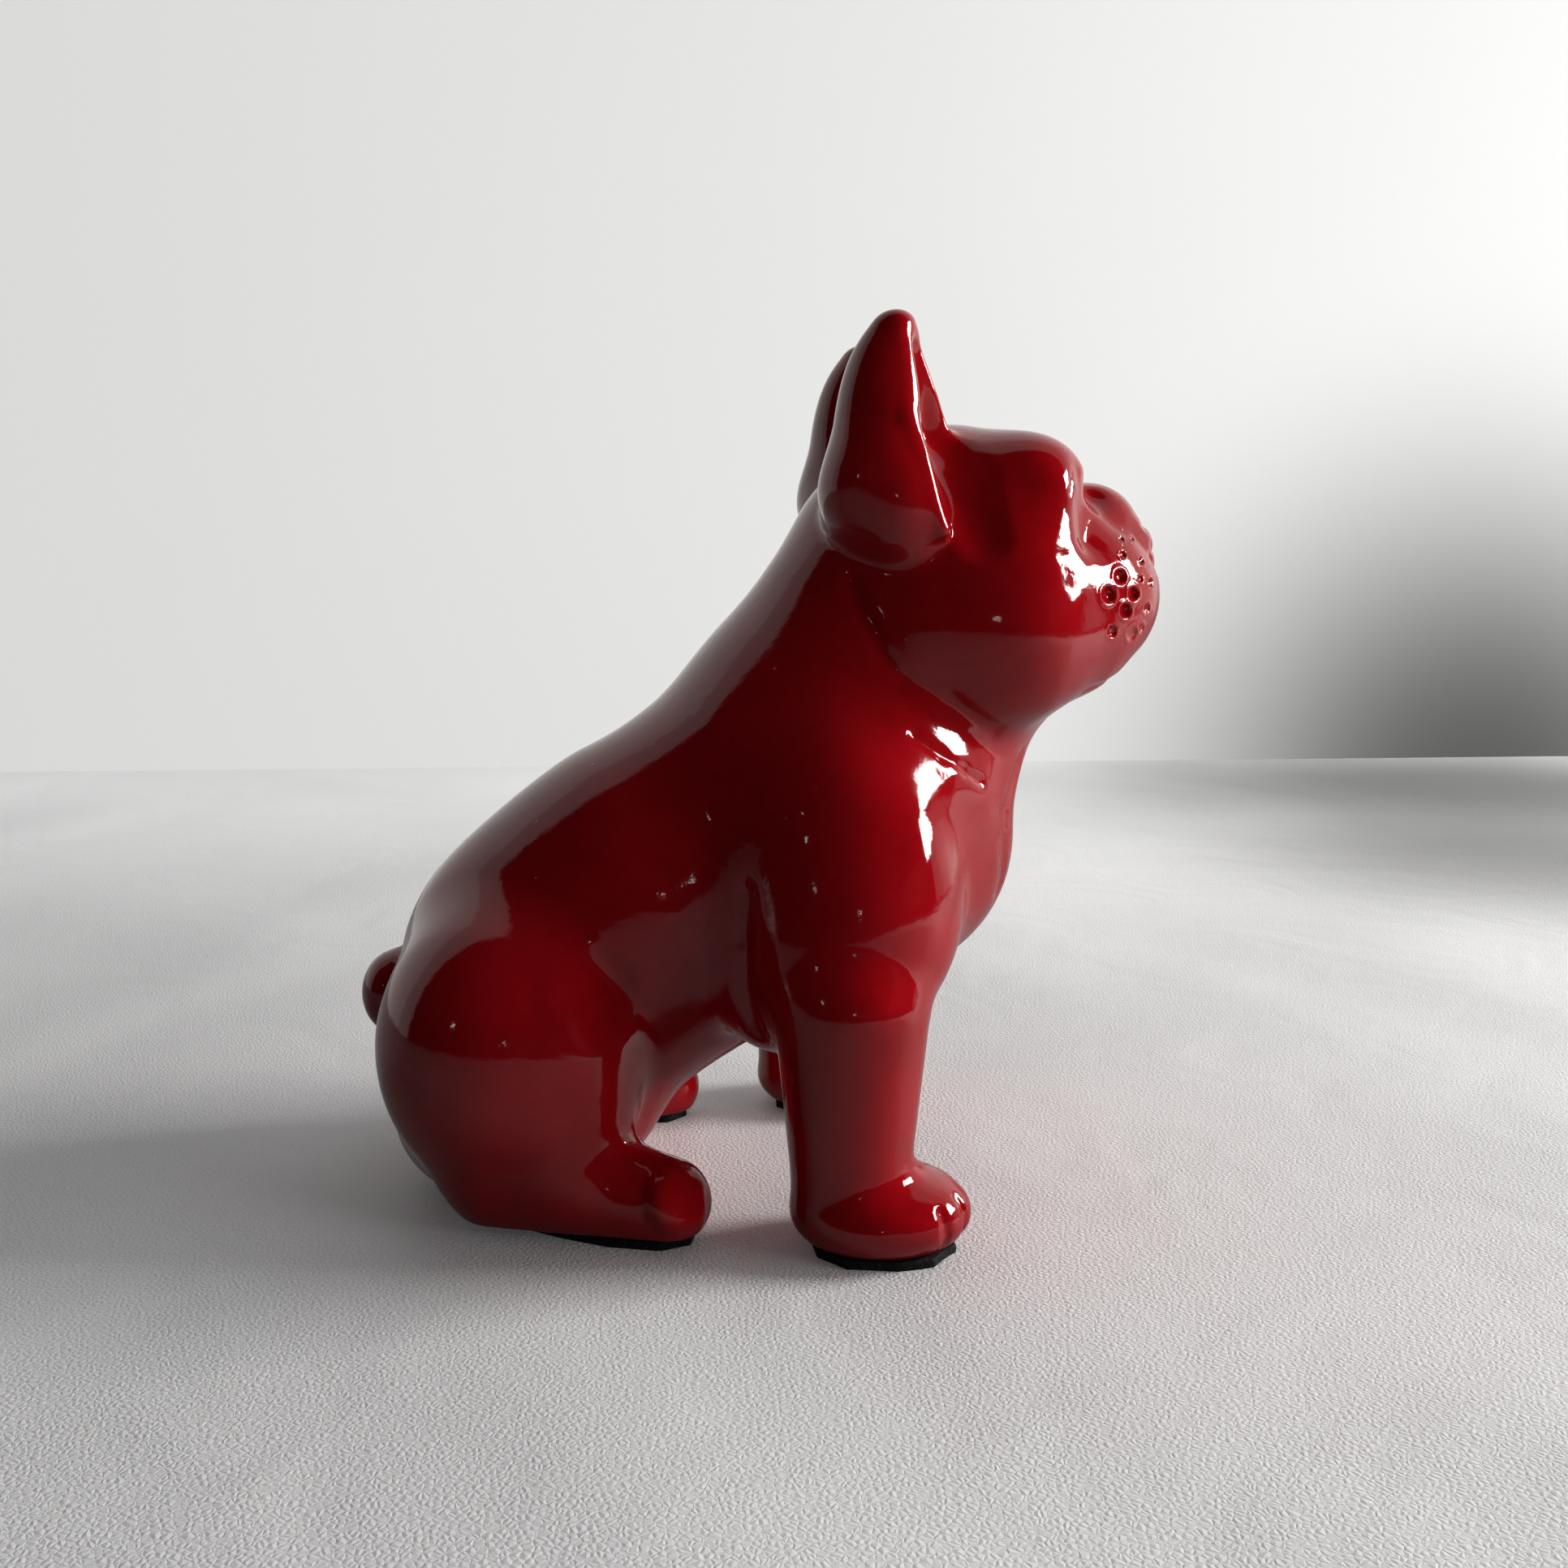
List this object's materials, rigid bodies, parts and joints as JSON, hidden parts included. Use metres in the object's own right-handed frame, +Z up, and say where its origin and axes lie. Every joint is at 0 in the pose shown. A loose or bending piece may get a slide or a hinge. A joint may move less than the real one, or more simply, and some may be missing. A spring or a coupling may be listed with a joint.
{
  "type": "dog statue",
  "caption": "Seated bulldog ornament, a hollow glossy casting with pricked ears and a stub tail, standing on hand-cut foam pads.",
  "frame": {"origin": "centre of the overall footprint box, on the surface that the pads stand on", "axes": "+Z up, the dog looks towards -Y, its left side is +X"},
  "size_m": [0.1288, 0.1884, 0.2001],
  "materials": {
    "red_gloss": "deep red high gloss lacquer on cast resin",
    "black_foam": "matt closed-cell foam, knife cut"
  },
  "bodies": {
    "root": {"body_casting": "red_gloss", "front_right_paw_pad": "black_foam", "front_left_paw_pad": "black_foam", "rear_right_foot_pad": "black_foam", "rear_left_foot_pad": "black_foam"}
  },
  "joints": []
}
